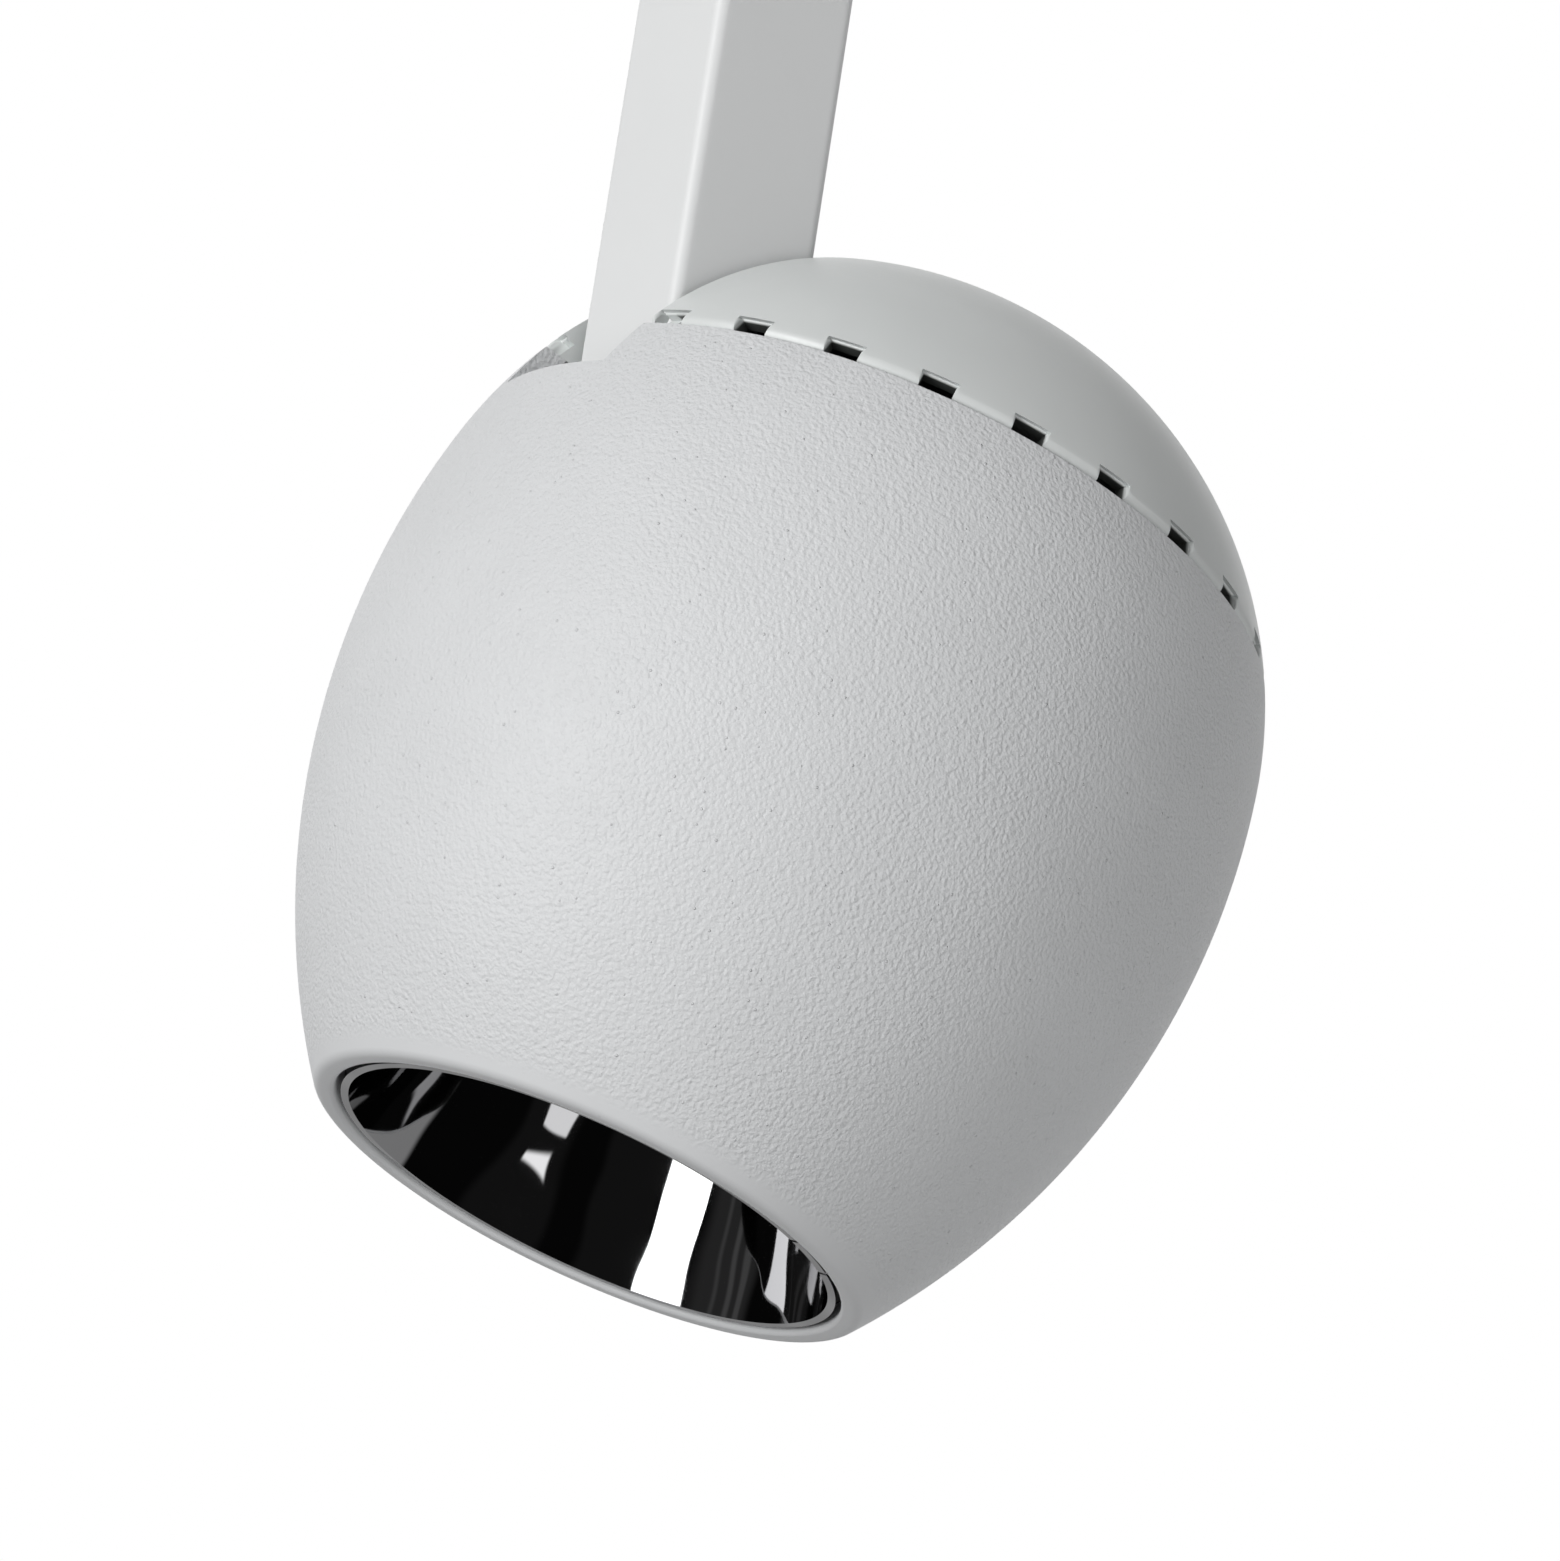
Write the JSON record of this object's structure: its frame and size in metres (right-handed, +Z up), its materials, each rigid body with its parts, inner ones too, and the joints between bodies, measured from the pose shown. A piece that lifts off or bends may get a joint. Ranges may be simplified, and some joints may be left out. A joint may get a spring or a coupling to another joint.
{
  "type": "ceiling spotlight",
  "caption": "Egg-shaped tilting spotlight head with a deep mirror reflector, on a square arm that swivels under a round ceiling canopy.",
  "frame": {"origin": "middle of the canopy's ceiling face, between the two ceiling screw slots", "axes": "+Z up into the ceiling and along the swivel axis and the arm; X along the tilt axis; the head leans its mouth towards -Y at rest"},
  "size_m": [0.12, 0.1334, 0.2501],
  "materials": {
    "shell_paint": "fine orange-peel powder coat",
    "cap_plastic": "satin",
    "arm_paint": "smooth satin paint",
    "canopy_paint": "fine powder coat",
    "reflector_chrome": "mirror",
    "black_plastic": "matt",
    "white_plastic": "matt",
    "pad_rubber": "matt",
    "grommet_rubber": "matt",
    "cast_aluminium": "blasted",
    "board_aluminium": "satin",
    "led_phosphor": "matt",
    "zinc_steel": "zinc plated",
    "spring_steel": "bright",
    "bronze": "sintered"
  },
  "bodies": {
    "canopy": {"canopy_cover": "canopy_paint", "stem_bush": "white_plastic", "stop_peg": "zinc_steel", "cover_screws": "zinc_steel", "mounting_plate": "zinc_steel", "cable_grommet": "grommet_rubber", "driver": "white_plastic", "driver_screws": "zinc_steel", "terminal_block": "white_plastic", "terminal_screws": "zinc_steel", "earth_screw": "bronze"},
    "arm": {"arm_tube": "arm_paint", "hinge_insert": "cast_aluminium", "pivot_bush": "bronze", "insert_pins": "spring_steel", "top_insert": "cast_aluminium", "swivel_plate": "arm_paint", "top_screws": "zinc_steel", "swivel_stem": "zinc_steel", "stop_washer": "zinc_steel", "swivel_spring": "spring_steel", "swivel_nut": "zinc_steel"},
    "head": {"front_shell": "shell_paint", "rear_cap": "cap_plastic", "reflector": "reflector_chrome", "reflector_ring": "black_plastic", "thermal_pad": "pad_rubber", "led_board": "board_aluminium", "led_disc": "led_phosphor", "led_holder": "white_plastic", "holder_screws": "zinc_steel", "heat_sink": "cast_aluminium", "heat_sink_screws": "zinc_steel", "pivot_bracket": "zinc_steel", "bracket_screws": "zinc_steel", "pivot_pin": "zinc_steel", "friction_washers": "white_plastic", "pivot_spring": "spring_steel", "pivot_nut": "zinc_steel"}
  },
  "joints": [
    {"name": "swivel", "type": "hinge", "parent": "canopy", "child": "arm", "pos_m": [0, 0, -0.036], "axis": [0, 0, 1], "range_deg": [-165, 165]},
    {"name": "tilt", "type": "hinge", "parent": "arm", "child": "head", "pos_m": [0, 0, -0.15], "axis": [-1, 0, 0], "range_deg": [-18.5, 71.5]}
  ]
}
